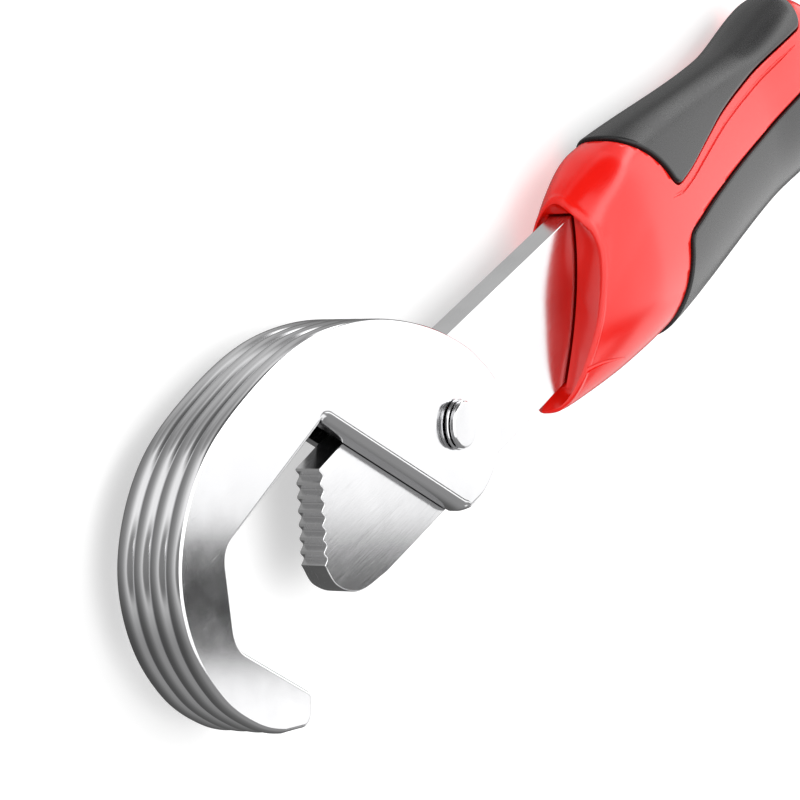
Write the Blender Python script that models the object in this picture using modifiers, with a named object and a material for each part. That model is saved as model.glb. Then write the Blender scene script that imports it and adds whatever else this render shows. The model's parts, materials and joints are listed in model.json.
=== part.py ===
"""Self-adjusting hook-jaw wrench: a forged hook, a toothed lever blade, and a two-tone handle.

The hook turns on a rivet through the blade. The tool lies flat: +X runs along the handle to its
tail, +Y is the hook's back, +Z is the axis of the rivet. Design coordinates start at the rivet's
axis on the blade's mid-plane, and the root empty then puts the origin under the tool's centre.
"""
import math

import bmesh
import bpy
from mathutils import Vector

MM = 0.001
GAP = 0.3 * MM                      # between pieces that touch
OUTSIDE = 45.0 * MM                 # reach of cutters that pass right through a piece

# Hook jaw
HOOK_THICKNESS = 12.5 * MM
HOOK_EDGE_ROUND = 0.7 * MM          # radius along the edges of its two faces
LEG_EDGE_ROUND = 2.2 * MM           # the same, along the straight leg beside the blade
LEG_ROUND_REACH = 3.0 * MM          # distance from the leg in which one turns into the other
FORK_END = Vector((-3.3, -16.8)) * MM
APEX = Vector((-39.6, 20.9)) * MM
EYE_RADIUS = 16.1 * MM
EYE_CENTRE = Vector((1.2, -0.4)) * MM
RIB_COUNT = 4
RIB_DEPTH = 0.65 * MM               # of the creases between the ribs
RIB_EDGE_ROUND = 0.3 * MM           # where the outer ribs meet the faces
RIB_FADE_START = -38.0 * MM         # along X, where the ribs begin to sink into the back
RIB_FADE_END = -14.0 * MM

# Blade
BLADE_THICKNESS = 5.0 * MM
BLADE_TOP = 13.4 * MM
BLADE_BOTTOM = -15.3 * MM
NOSE_TOP = Vector((-39.7, 11.6)) * MM
NOSE_HEEL = Vector((-45.6, -4.2)) * MM
TOOTH_PITCH = 2.45 * MM
TOOTH_DEPTH = 0.95 * MM
TANG_WIDTH = 18.0 * MM
TANG_LENGTH = 82.0 * MM             # behind the shoulder
SHOULDER_DEPTH = 36.0 * MM          # of the full-width blade behind the prow of the handle
TANG_HOLE_RADIUS = 3.6 * MM
TANG_HOLE_STEP = 32.0 * MM          # from the shoulder to the first hole, and between the two

# Rivet, washers and spring
RIVET_RADIUS = 3.3 * MM
RIVET_HEAD_RADIUS = 4.4 * MM
RIVET_HEAD_HEIGHT = 0.9 * MM
RIVET_HEAD_CHAMFER = 0.35 * MM
WASHER_RADIUS = 4.7 * MM
WASHER_THICKNESS = 0.6 * MM
SPRING_WIRE = 0.9 * MM
SPRING_INNER = 5.3 * MM
SPRING_PITCH = 1.4 * MM
SPRING_TURNS = 3
SPRING_POCKET_WALL = 0.35 * MM      # clearance round the wire in its pocket
SPRING_LEG_REACH = 1.6 * MM         # how deep the inner end stands in the blade
SPRING_END_REACH = 2.2 * MM         # how far the outer end runs into the hook's notch
SPRING_NOTCH_REACH = 3.0 * MM

# How far the hook turns on the blade
OPEN_ANGLE = math.radians(25)
CLOSE_ANGLE = math.radians(20)
STOP_CLEARANCE = 0.4 * MM
FORK_FRONT = Vector((-47.7, 18.0)) * MM     # lower end of the fork's sloping front
FORK_FRONT_SLOPE = Vector((0.62, 0.7846))

# Handle
HANDLE_FRONT = 41.0 * MM            # the prow under the blade, from the rivet
HANDLE_LENGTH = 155.0 * MM
HANDLE_ROUNDNESS = 2.45             # exponent of the cross-section's superellipse
FRONT_NARROWING = 0.9               # how much slimmer the bolster's upper edge is at its front
NARROWING_REACH = 48.0 * MM
TAIL_ROUND = 21.0 * MM
MOUTH_DEPTH = 24.5 * MM             # from the prow to the blade's top edge in the mouth
MOUTH_SWEEP = 17.5 * MM             # how much less it is at the blade's bottom edge
BOLSTER_RADIUS = 29.5 * MM          # of the bolster's round rear edge
BOLSTER_CENTRE = Vector((HANDLE_FRONT + 27.5 * MM, -2.0 * MM))
GRIP_DEPTH = 3.4 * MM               # of the soft panels' seats in the core
GRIP_PROUD = 0.7 * MM               # how far the panels stand above the core's skin
GRIP_CORNER = 2.6 * MM              # rounding of their corners along the stripe
PANEL_TOP = 21.5 * MM               # heights at which the panels' ends run straight out
PANEL_BOTTOM = -24.8 * MM
PANEL_OVERRUN = 20.0 * MM           # how far a panel's side view runs on past the skin
TAIL_RADIUS = 26.0 * MM             # of the round edge between the panels and the tail
LIP_REACH = [(-90, 0), (-66, 3.2), (-44, 6.1), (-27, 9), (-14, 12.2), (-2, 15.8), (5, 18.2), (15, 21),
             (25, 23), (36, 23.8), (48, 23.4), (65, 23), (90, 23.4)]    # degrees, mm behind the prow
STRIPE_TOP = [(0, 5.4), (0.2, 6.1), (0.36, 8.3), (0.49, 9.9), (0.69, 10.9), (1, 11.9)]      # share, mm
STRIPE_BOTTOM = [(0, -5.2), (0.16, -4.9), (0.3, -3.4), (0.48, -2.2), (0.7, -1.4), (1, 0)]
HANGING_HOLE_RADIUS = 4.0 * MM
HANGING_HOLE_INSET = 13.0 * MM      # from the tail's end

HANDLE_END = HANDLE_FRONT + HANDLE_LENGTH
TAIL_CENTRE = Vector((HANDLE_END + 3 * MM, -2.0 * MM))
SHOULDER_X = HANDLE_FRONT + SHOULDER_DEPTH
SLOT_HALF = BLADE_THICKNESS / 2 + GAP
SPRING_OUTER = SPRING_INNER + SPRING_TURNS * SPRING_PITCH
SPRING_Z = -(SLOT_HALF + SPRING_POCKET_WALL + SPRING_WIRE / 2)
POCKET_RADIUS = SPRING_OUTER + SPRING_WIRE / 2 + SPRING_POCKET_WALL
POCKET_FLOOR = SPRING_Z - SPRING_WIRE / 2 - SPRING_POCKET_WALL


# ---------------------------------------------------------------- scene and materials

def clear_scene():
    for obj in list(bpy.data.objects):
        bpy.data.objects.remove(obj, do_unlink=True)


def make_collection(name):
    collection = bpy.data.collections.new(name)
    bpy.context.scene.collection.children.link(collection)
    return collection


def make_material(name, colour, roughness, metallic):
    material = bpy.data.materials.new(name)
    material.use_nodes = True
    shader = material.node_tree.nodes["Principled BSDF"]
    shader.inputs["Base Color"].default_value = (*colour, 1.0)
    shader.inputs["Roughness"].default_value = roughness
    shader.inputs["Metallic"].default_value = metallic
    return material


def add_object(name, bm, collection, smooth_angle=35):
    mesh = bpy.data.meshes.new(name)
    bm.to_mesh(mesh)
    bm.free()
    mesh.shade_smooth()
    mesh.set_sharp_from_angle(angle=math.radians(smooth_angle))
    obj = bpy.data.objects.new(name, mesh)
    collection.objects.link(obj)
    return obj


def mark_cutter(obj):
    obj.hide_render = True
    obj.display_type = "WIRE"


def add_boolean(obj, other, operation):
    mark_cutter(other)
    modifier = obj.modifiers.new(f"{operation.lower()}_{other.name}", "BOOLEAN")
    modifier.operation = operation
    modifier.object = other
    modifier.solver = "EXACT"


# ---------------------------------------------------------------- shape helpers

def smooth_step(value):
    t = min(1.0, max(0.0, value))
    return t * t * (3.0 - 2.0 * t)


def curve_through(points, x):
    """Height at x of a smooth curve through (x, height) points, by cubic Hermite spans."""
    if x <= points[0][0]:
        return points[0][1]
    if x >= points[-1][0]:
        return points[-1][1]
    slopes = []
    for i in range(len(points)):
        before = points[max(i - 1, 0)]
        after = points[min(i + 1, len(points) - 1)]
        slopes.append((after[1] - before[1]) / (after[0] - before[0]))
    i = max(k for k in range(len(points) - 1) if points[k][0] <= x)
    span = points[i + 1][0] - points[i][0]
    t = (x - points[i][0]) / span
    return ((2 * t**3 - 3 * t**2 + 1) * points[i][1] + (t**3 - 2 * t**2 + t) * span * slopes[i]
            + (3 * t**2 - 2 * t**3) * points[i + 1][1] + (t**3 - t**2) * span * slopes[i + 1])


def path_through(points, steps):
    """Points along a smooth open path through the given ones, ends included."""
    result = []
    for i in range(len(points) - 1):
        before = points[max(i - 1, 0)]
        start, end = points[i], points[i + 1]
        after = points[min(i + 2, len(points) - 1)]
        span = (end - start).length
        leave = (end - before).normalized() * span
        arrive = (after - start).normalized() * span
        for k in range(steps):
            t = k / steps
            result.append(start * (2 * t**3 - 3 * t**2 + 1) + leave * (t**3 - 2 * t**2 + t)
                          + end * (3 * t**2 - 2 * t**3) + arrive * (t**3 - t**2))
    return result + [points[-1].copy()]


def rounded_corners(corners, steps=5):
    """Outline from (point, radius) corners: straight sides joined by arcs."""
    result = []
    count = len(corners)
    for i, (corner, radius) in enumerate(corners):
        back = (corners[i - 1][0] - corner).normalized()
        ahead = (corners[(i + 1) % count][0] - corner).normalized()
        if radius <= 0:
            result.append(corner.copy())
            continue
        half = back.angle(ahead) / 2
        reach = radius / math.tan(half)
        centre = corner + (back + ahead).normalized() * (radius / math.sin(half))
        first = corner + back * reach - centre
        turn = first.angle_signed(corner + ahead * reach - centre)
        for k in range(steps + 1):
            angle = -turn * k / steps
            spin = Vector((first.x * math.cos(angle) - first.y * math.sin(angle),
                           first.x * math.sin(angle) + first.y * math.cos(angle)))
            result.append(centre + spin)
    return result


def arc(centre, radius, start, end, steps):
    """Points of an arc from angle start to angle end, in degrees, ends included."""
    points = []
    for k in range(steps + 1):
        angle = math.radians(start + (end - start) * k / steps)
        points.append(centre + Vector((math.cos(angle), math.sin(angle))) * radius)
    return points


def circle(centre, radius, steps=32):
    return arc(centre, radius, 0, 360, steps)[:-1]


def without_straight_points(outline):
    """The outline without the points that lie on a straight run of it."""
    kept = []
    for i, point in enumerate(outline):
        back = (point - outline[i - 1]).normalized()
        ahead = (outline[(i + 1) % len(outline)] - point).normalized()
        if abs(back.x * ahead.y - back.y * ahead.x) > 1e-4:
            kept.append(point)
    return kept


def plate(name, outlines, low, high, collection):
    """Flat solid from closed outlines, the first outside and the rest holes."""
    curve = bpy.data.curves.new(name, "CURVE")
    curve.dimensions = "2D"
    curve.fill_mode = "BOTH"
    curve.extrude = (high - low) / 2
    for outline in map(without_straight_points, outlines):
        spline = curve.splines.new("POLY")
        spline.points.add(len(outline) - 1)
        for point, place in zip(spline.points, outline):
            point.co = (place.x, place.y, 0.0, 1.0)
        spline.use_cyclic_u = True
    source = bpy.data.objects.new(name + "_outline", curve)
    bpy.context.scene.collection.objects.link(source)
    bpy.context.view_layer.update()
    evaluated = source.evaluated_get(bpy.context.evaluated_depsgraph_get())
    mesh = bpy.data.meshes.new_from_object(evaluated)
    bpy.data.objects.remove(source, do_unlink=True)
    bm = bmesh.new()
    bm.from_mesh(mesh)
    bpy.data.meshes.remove(mesh)
    bmesh.ops.remove_doubles(bm, verts=bm.verts, dist=0.001 * MM)
    bmesh.ops.translate(bm, verts=bm.verts, vec=(0, 0, (low + high) / 2))
    bmesh.ops.recalc_face_normals(bm, faces=bm.faces)
    return add_object(name, bm, collection, 30)


def skin_rings(rings, close_ends=True):
    """Closed mesh through rings of equally many points, with flat ends."""
    bm = bmesh.new()
    rows = [[bm.verts.new(point) for point in ring] for ring in rings]
    count = len(rows[0])
    for lower, upper in zip(rows, rows[1:]):
        for k in range(count):
            bm.faces.new((lower[k], lower[(k + 1) % count], upper[(k + 1) % count], upper[k]))
    if close_ends:
        bm.faces.new(list(reversed(rows[0])))
        bm.faces.new(rows[-1])
    bmesh.ops.recalc_face_normals(bm, faces=bm.faces)
    return bm


def turned(name, profile, collection, steps=32):
    """Solid of revolution about Z from (radius, height) points, outer side from top to bottom."""
    mesh = bpy.data.meshes.new(name)
    is_ring = profile[0] == profile[-1]
    points = [(radius, 0.0, height) for radius, height in (profile[:-1] if is_ring else profile)]
    edges = [(k, k + 1) for k in range(len(points) - 1)]
    if is_ring:
        edges.append((len(points) - 1, 0))
    mesh.from_pydata(points, edges, [])
    obj = bpy.data.objects.new(name, mesh)
    collection.objects.link(obj)
    screw = obj.modifiers.new("turn", "SCREW")
    screw.axis = "Z"
    screw.steps = steps
    screw.render_steps = steps
    screw.use_merge_vertices = True
    screw.merge_threshold = 0.01 * MM
    screw.use_smooth_shade = False
    return obj


# ---------------------------------------------------------------- hook jaw

def hook_inner_corners():
    """From the fork's lower end, up the V and round the mouth to the tip."""
    places = [(-75.8, 15.8, 4.0), (-79.9, 0.1, 6.0), (-63.6, -18.4, 1.6), (-66.0, -23.4, 2.6),
              (-73.6, -20.4, 0.0)]
    return [(FORK_END, 4.5 * MM), (APEX, 3.4 * MM)] + [
        (Vector((x, y)) * MM, radius * MM) for x, y, radius in places]


def hook_back():
    """From under the tip, round the hook's back and down into the eye."""
    places = [(-73.6, -20.4), (-80.6, -14.9), (-87.2, -6.0), (-90.8, 5.8), (-89.3, 17.4),
              (-82.7, 26.6), (-72.7, 32.8), (-57.9, 35.9), (-42.0, 36.4), (-28.0, 33.6),
              (-14.0, 28.0), (0.0, 19.7), (10.4, 10.9), (15.6, 4.2)]
    return path_through([Vector(place) * MM for place in places], 6)


def leg_distance(point):
    """Distance from the straight leg between the fork's end and the apex."""
    along = APEX - FORK_END
    t = min(1.0, max(0.0, (point - FORK_END).dot(along) / along.length_squared))
    return (point - FORK_END - along * t).length


def hook_outline():
    """Outline as (point, how much of the rib profile its rim carries, radius at the faces)."""
    eye = arc(EYE_CENTRE, EYE_RADIUS, 6, -84, 14)
    before_fork = (eye[-1], 0.0)
    inner = rounded_corners([before_fork] + hook_inner_corners())[1:-1]
    outline = []
    for point in eye + inner:
        off_leg = smooth_step(leg_distance(point) / LEG_ROUND_REACH)
        outline.append((point, 0.0, LEG_EDGE_ROUND + (HOOK_EDGE_ROUND - LEG_EDGE_ROUND) * off_leg))
    for point in hook_back():
        fade = smooth_step((point.x - RIB_FADE_START) / (RIB_FADE_END - RIB_FADE_START))
        outline.append((point, 1.0 - fade, RIB_EDGE_ROUND + (HOOK_EDGE_ROUND - RIB_EDGE_ROUND) * fade))
    return outline


def rim_inset(z, rib_share, edge_round):
    """How far the rim lies inside the outline at height z."""
    over = abs(z) - (HOOK_THICKNESS / 2 - edge_round)
    rounding = 0.0
    if over > 0:
        rounding = edge_round - math.sqrt(max(0.0, edge_round**2 - over**2))
    width = HOOK_THICKNESS / RIB_COUNT
    across = (z + HOOK_THICKNESS / 2) % width - width / 2
    if abs(z) > HOOK_THICKNESS / 2 - 1e-9:
        across = width / 2
    radius = (width**2 / 4 + RIB_DEPTH**2) / (2 * RIB_DEPTH)
    return rounding + (radius - math.sqrt(radius**2 - across**2)) * rib_share


def rim_heights():
    """Heights of the hook's rings: even along the ribs, with two more close to each face."""
    steps = RIB_COUNT * 4
    half = HOOK_THICKNESS / 2
    even = [HOOK_THICKNESS * k / steps - half for k in range(steps + 1)]
    close = [side * (half - share * HOOK_EDGE_ROUND) for side in (-1, 1) for share in (0.12, 0.45)]
    return sorted(even + close)


def inward_normals(points):
    normals = []
    count = len(points)
    for i in range(count):
        along = (points[(i + 1) % count] - points[i - 1]).normalized()
        normals.append(Vector((along.y, -along.x)))
    return normals


def make_hook(collection, cutters):
    outline = hook_outline()
    normals = inward_normals([point for point, _, _ in outline])
    rings = []
    for z in rim_heights():
        ring = []
        for (point, rib_share, edge_round), normal in zip(outline, normals):
            place = point + normal * rim_inset(z, rib_share, edge_round)
            ring.append((place.x, place.y, z))
        rings.append(ring)
    hook = add_object("hook_jaw", skin_rings(rings), collection)
    slot = plate("cut_fork", [fork_outline()], -SLOT_HALF, SLOT_HALF, cutters)
    hole = turned("cut_rivet_hole", [(0, OUTSIDE), (RIVET_RADIUS + GAP, OUTSIDE),
                                     (RIVET_RADIUS + GAP, -OUTSIDE), (0, -OUTSIDE)], cutters)
    pocket = plate("cut_spring_pocket", [spring_pocket_outline()], POCKET_FLOOR, 0, cutters)
    for cutter in (slot, hole, pocket):
        add_boolean(hook, cutter, "DIFFERENCE")
    return hook


def spring_pocket_outline():
    """Round pocket with a straight notch at its top for the spring's outer end."""
    half = SPRING_WIRE / 2 + SPRING_POCKET_WALL
    notch_end = -POCKET_RADIUS - SPRING_NOTCH_REACH
    start = math.degrees(math.asin((SPRING_OUTER - half) / POCKET_RADIUS))
    round_part = arc(Vector((0, 0)), POCKET_RADIUS, 180 - start, 450, 40)
    return round_part + [Vector((-0.5 * MM, SPRING_OUTER + half)),
                         Vector((notch_end, SPRING_OUTER + half)), Vector((notch_end, SPRING_OUTER - half))]


def stop_line(angle):
    """Point and direction of the blade's top edge, with clearance, when turned by angle."""
    reach = BLADE_TOP + STOP_CLEARANCE
    normal = Vector((-math.sin(angle), math.cos(angle)))
    return normal * reach, Vector((math.cos(angle), math.sin(angle)))


def meet(line_a, line_b):
    (point, along), (other, across) = line_a, line_b
    turn = along.x * across.y - along.y * across.x
    apart = other - point
    return point + along * ((apart.x * across.y - apart.y * across.x) / turn)


def fork_outline():
    """Side view of the space between the cheeks: the blade's sweep, with a web above it."""
    opened = stop_line(-OPEN_ANGLE)
    closed = stop_line(CLOSE_ANGLE)
    inner_corner = meet(opened, closed)
    front_top = meet(opened, (FORK_FRONT, FORK_FRONT_SLOPE))
    over_back = inner_corner + closed[1] * OUTSIDE
    return rounded_corners([
        (Vector((FORK_FRONT.x, -OUTSIDE)), 0.0), (Vector((OUTSIDE, -OUTSIDE)), 0.0),
        (Vector((OUTSIDE, over_back.y)), 0.0), (over_back, 0.0), (inner_corner, 0.0),
        (front_top, 4 * MM), (FORK_FRONT, 0.0)])


# ---------------------------------------------------------------- blade

def blade_outline():
    """Toothed nose, parallel shank, shoulder and tang, anticlockwise from the nose's top."""
    down = (NOSE_HEEL - NOSE_TOP)
    count = round(down.length / TOOTH_PITCH)
    step = down / count
    forward = Vector((step.y, -step.x)).normalized()
    teeth = []
    for k in range(count):
        crest = NOSE_TOP + step * k
        teeth.append(crest)
        teeth.append(crest + step * 0.18)
        teeth.append(crest + step * 0.5 - forward * TOOTH_DEPTH)
        teeth.append(crest + step * 0.62 - forward * TOOTH_DEPTH)
    heel = path_through([NOSE_HEEL, Vector((-43.6, -9.3)) * MM, Vector((-37.5, -13.8)) * MM,
                         Vector((-28.0 * MM, BLADE_BOTTOM))], 4)
    middle = (BLADE_TOP + BLADE_BOTTOM) / 2
    tang_end = SHOULDER_X + TANG_LENGTH
    rear = rounded_corners([
        (Vector((SHOULDER_X, BLADE_BOTTOM)), 2 * MM),
        (Vector((SHOULDER_X, middle - TANG_WIDTH / 2)), 1.5 * MM),
        (Vector((tang_end, middle - TANG_WIDTH / 2)), 5 * MM),
        (Vector((tang_end, middle + TANG_WIDTH / 2)), 5 * MM),
        (Vector((SHOULDER_X, middle + TANG_WIDTH / 2)), 1.5 * MM),
        (Vector((SHOULDER_X, BLADE_TOP)), 2 * MM),
        (Vector((-8 * MM, BLADE_TOP)), 0.0), (Vector((-28 * MM, BLADE_BOTTOM)), 0.0)], 4)[:-1]
    return teeth + heel + rear


def tang_hole_centres():
    middle = (BLADE_TOP + BLADE_BOTTOM) / 2
    return [Vector((SHOULDER_X + TANG_HOLE_STEP * k, middle)) for k in (1, 2)]


def spring_leg_place():
    return Vector((SPRING_INNER, 0))


def make_blade(collection):
    holes = [circle(Vector((0, 0)), RIVET_RADIUS + GAP)]
    holes.append(circle(spring_leg_place(), SPRING_WIRE / 2 + GAP, 16))
    for centre in tang_hole_centres():
        holes.append(circle(centre, TANG_HOLE_RADIUS, 24))
    return plate("lever_blade", [blade_outline()] + holes,
                 -BLADE_THICKNESS / 2, BLADE_THICKNESS / 2, collection)


# ---------------------------------------------------------------- rivet, washers, spring

def make_rivet(collection):
    seat = HOOK_THICKNESS / 2 + WASHER_THICKNESS + 2 * GAP
    top = seat + RIVET_HEAD_HEIGHT
    edge = RIVET_HEAD_CHAMFER
    upper = [(0, top), (RIVET_HEAD_RADIUS - edge, top), (RIVET_HEAD_RADIUS, top - edge),
             (RIVET_HEAD_RADIUS, seat), (RIVET_RADIUS, seat)]
    lower = [(radius, -height) for radius, height in reversed(upper)]
    return turned("pivot_rivet", upper + lower, collection)


def make_washer(name, side, collection):
    middle = side * (HOOK_THICKNESS / 2 + GAP + WASHER_THICKNESS / 2)
    high = middle + WASHER_THICKNESS / 2
    low = middle - WASHER_THICKNESS / 2
    inner = RIVET_RADIUS + GAP
    edge = WASHER_THICKNESS / 3
    profile = [(inner, low), (inner, high), (WASHER_RADIUS - edge, high), (WASHER_RADIUS, high - edge),
               (WASHER_RADIUS, low), (inner, low)]
    return turned(name, profile, collection)


def make_spring(collection):
    """Flat spiral: one end bent up into the blade, the other held in the hook's notch."""
    per_turn = 22
    leg_top = -BLADE_THICKNESS / 2 + SPRING_LEG_REACH
    centre = spring_leg_place()
    points = [Vector((centre.x, centre.y, leg_top)),
              Vector((centre.x, centre.y, SPRING_Z + SPRING_WIRE * 0.6)),
              Vector((centre.x, centre.y + SPRING_WIRE * 0.25, SPRING_Z + SPRING_WIRE * 0.12))]
    total = int(per_turn * (SPRING_TURNS + 0.25))
    for k in range(2, total + 1):
        angle = 2 * math.pi * k / per_turn
        radius = min(SPRING_OUTER, SPRING_INNER + SPRING_PITCH * k / per_turn)
        points.append(Vector((radius * math.cos(angle), radius * math.sin(angle), SPRING_Z)))
    end = points[-1]
    points.append(Vector((-POCKET_RADIUS - SPRING_END_REACH, end.y, SPRING_Z)))
    curve = bpy.data.curves.new("jaw_spring", "CURVE")
    curve.dimensions = "3D"
    curve.bevel_depth = SPRING_WIRE / 2
    curve.bevel_resolution = 2
    curve.use_fill_caps = True
    spline = curve.splines.new("POLY")
    spline.points.add(len(points) - 1)
    for point, place in zip(spline.points, points):
        point.co = (*place, 1.0)
    obj = bpy.data.objects.new("jaw_spring", curve)
    collection.objects.link(obj)
    return obj


# ---------------------------------------------------------------- handle

def handle_top(x):
    waist = HANDLE_END - 48 * MM
    return curve_through([
        (HANDLE_FRONT, 9 * MM), (HANDLE_FRONT + 12 * MM, 13.4 * MM), (HANDLE_FRONT + 21 * MM, 16.2 * MM),
        (HANDLE_FRONT + 31 * MM, 19.3 * MM), (HANDLE_FRONT + 43 * MM, 21.0 * MM),
        (waist, 16.0 * MM), (HANDLE_END - 20 * MM, 18.4 * MM), (HANDLE_END, 18.6 * MM)], x)


def handle_bottom(x):
    waist = HANDLE_END - 44 * MM
    return curve_through([
        (HANDLE_FRONT, -18.4 * MM), (HANDLE_FRONT + 4 * MM, -20.2 * MM),
        (HANDLE_FRONT + 10 * MM, -21.2 * MM), (HANDLE_FRONT + 31 * MM, -23.2 * MM),
        (HANDLE_FRONT + 58 * MM, -24.0 * MM),
        (waist, -21.0 * MM), (HANDLE_END - 20 * MM, -21.6 * MM), (HANDLE_END, -21.6 * MM)], x)


def handle_half_thickness(x):
    waist = HANDLE_END - 48 * MM
    return curve_through([
        (HANDLE_FRONT, 5 * MM), (HANDLE_FRONT + 9 * MM, 7.4 * MM), (HANDLE_FRONT + 21 * MM, 9.6 * MM),
        (HANDLE_FRONT + 31 * MM, 10.8 * MM), (HANDLE_FRONT + 43 * MM, 11.4 * MM),
        (waist, 10.0 * MM), (HANDLE_END - 22 * MM, 11.0 * MM), (HANDLE_END, 11.0 * MM)], x)


def tail_share(x):
    """Share of the full cross-section that is left where the tail rounds off."""
    along = (x - (HANDLE_END - TAIL_ROUND)) / TAIL_ROUND
    if along <= 0:
        return 1.0
    return max(0.0, 1.0 - along**2.3) ** 0.5


def handle_point(x, angle, inset=0.0):
    """Point of the handle's skin: angle 0 on the near flank, 90 degrees on the upper edge."""
    share = tail_share(x + inset)
    narrowing = FRONT_NARROWING * (1 - smooth_step((x - HANDLE_FRONT) / NARROWING_REACH))
    middle = (handle_top(x) + handle_bottom(x)) / 2
    half_height = max(0.3 * MM, (handle_top(x) - handle_bottom(x)) / 2 * share - inset)
    half_thickness = max(0.2 * MM, handle_half_thickness(x) * share**0.55 - inset)
    power = 2 / HANDLE_ROUNDNESS
    across = math.copysign(abs(math.cos(angle)) ** power, math.cos(angle))
    across *= 1 - narrowing * max(0.0, math.sin(angle)) ** 1.5
    up = math.copysign(abs(math.sin(angle)) ** power, math.sin(angle))
    return Vector((x, middle + half_height * up, half_thickness * across))


def lip_x(angle):
    """How far forward the mouth's lip reaches, by the angle round the handle, same on both flanks."""
    up = math.degrees(math.asin(max(-1.0, min(1.0, math.sin(angle)))))
    return HANDLE_FRONT + curve_through(LIP_REACH, up) * MM


def mouth_x(y):
    """Where the mouth's inner edge crosses the blade at height y: far back at its top."""
    down = (BLADE_TOP - y) / (BLADE_TOP - BLADE_BOTTOM)
    return HANDLE_FRONT + MOUTH_DEPTH - MOUTH_SWEEP * (0.25 * down + 0.75 * down**2)


def slot_ring(angles, top, bottom, x=None):
    """Rectangle round the blade; without x it follows the mouth's slanted inner edge."""
    ring = []
    for angle in angles:
        grow = 1 / max(abs(math.cos(angle)), abs(math.sin(angle)))
        y = (top + bottom) / 2 + (top - bottom) / 2 * grow * math.sin(angle)
        z = SLOT_HALF * grow * math.cos(angle)
        ring.append(Vector((mouth_x(y) if x is None else x, y, z)))
    return ring


def round_angles(count):
    """Angles of count points, with one exactly on each corner of the slot."""
    return [2 * math.pi * (k + 0.5) / count + math.pi / 4 - math.pi / count for k in range(count)]


def outer_rings(angles, stations, inset=0.0):
    """Rings of the handle's skin, from the mouth's lip to the tail."""
    even_from = HANDLE_FRONT + 42 * MM
    front_rows = 6
    rings = []
    for k in range(front_rows):
        t = k / front_rows
        rings.append([handle_point(lip_x(a) + (even_from - lip_x(a)) * t, a, inset) for a in angles])
    length = HANDLE_END - inset - even_from
    for k in range(stations + 1):
        t = math.sin(math.pi / 2 * k / stations) ** 0.9
        x = even_from + length * t
        rings.append([handle_point(x, a, inset) for a in angles])
    return rings


def make_core_body(name, collection):
    """The whole handle outside, its mouth, and the pocket that the blade sits in."""
    angles = round_angles(48)
    top = BLADE_TOP + GAP
    bottom = BLADE_BOTTOM - GAP
    middle = (BLADE_TOP + BLADE_BOTTOM) / 2
    tang_top = middle + TANG_WIDTH / 2 + GAP
    tang_bottom = middle - TANG_WIDTH / 2 - GAP
    tang_end = SHOULDER_X + TANG_LENGTH + GAP
    outside = outer_rings(angles, 20)
    lip = outside[0]
    mouth = slot_ring(angles, top, bottom)
    half_way = [edge * 0.55 + inner * 0.45 + Vector((0.8 * MM, 0, 0)) for edge, inner in zip(lip, mouth)]
    inside = [slot_ring(angles, tang_top, tang_bottom, tang_end),
              slot_ring(angles, tang_top, tang_bottom, SHOULDER_X + GAP + 1 * MM),
              slot_ring(angles, top, bottom, SHOULDER_X + GAP)]
    bm = skin_rings(inside + [mouth, half_way] + outside)
    return add_object(name, bm, collection)


def panel_share(x):
    """0 where the panels start behind the bolster, 1 where the tail begins."""
    start = HANDLE_FRONT + 45 * MM
    return (x - start) / (HANDLE_END - 23 * MM - start)


def stripe_top(x):
    return curve_through(STRIPE_TOP, panel_share(x)) * MM


def stripe_bottom(x):
    return curve_through(STRIPE_BOTTOM, panel_share(x)) * MM


def bend(start, corner, end, steps=5):
    """Points of a curve from start to end that rounds off the corner, ends left out."""
    return [start * (1 - t) ** 2 + corner * (2 * t * (1 - t)) + end * t**2
            for t in (k / (steps + 1) for k in range(1, steps + 1))]


def arc_x(centre, radius, y, direction):
    return centre.x + direction * math.sqrt(radius**2 - (y - centre.y) ** 2)


def grip_region(side, inset):
    """Side view of a soft panel: behind the bolster's arc, off the stripe, before the tail."""
    edge = stripe_top if side > 0 else stripe_bottom
    offset = inset * side
    rounding = GRIP_CORNER * side
    front = BOLSTER_RADIUS + inset
    rear = TAIL_RADIUS + inset
    outer = PANEL_TOP if side > 0 else PANEL_BOTTOM
    start_y = edge(BOLSTER_CENTRE.x + BOLSTER_RADIUS) + offset
    start_x = arc_x(BOLSTER_CENTRE, front, start_y, 1)
    end_y = edge(TAIL_CENTRE.x - rear) + offset
    end_x = arc_x(TAIL_CENTRE, rear, end_y, -1)
    steps = 8
    points = []
    for k in range(steps + 1):
        y = outer + (start_y + rounding - outer) * k / steps
        points.append(Vector((arc_x(BOLSTER_CENTRE, front, y, 1), y)))
    along = []
    for k in range(15):
        x = start_x + GRIP_CORNER + (end_x - start_x - 2 * GRIP_CORNER) * k / 14
        along.append(Vector((x, edge(x) + offset)))
    points += bend(points[-1], Vector((start_x, start_y)), along[0]) + along
    tail = []
    for k in range(steps + 1):
        y = end_y + rounding + (outer - end_y - rounding) * k / steps
        tail.append(Vector((arc_x(TAIL_CENTRE, rear, y, -1), y)))
    points += bend(points[-1], Vector((end_x, end_y)), tail[0]) + tail
    points.append(Vector((points[-1].x, outer + PANEL_OVERRUN * side)))
    points.append(Vector((points[0].x, outer + PANEL_OVERRUN * side)))
    return points


def make_grip(name, side, collection, cutters):
    angles = round_angles(48)
    grip = add_object(name, skin_rings(outer_rings(angles, 24, -GRIP_PROUD)), collection)
    region = plate(f"keep_{name}", [grip_region(side, GAP)], -OUTSIDE, OUTSIDE, cutters)
    under = add_object(f"cut_under_{name}", skin_rings(outer_rings(angles, 24, GRIP_DEPTH - GAP)), cutters)
    add_boolean(grip, region, "INTERSECT")
    add_boolean(grip, under, "DIFFERENCE")
    return grip


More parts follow.
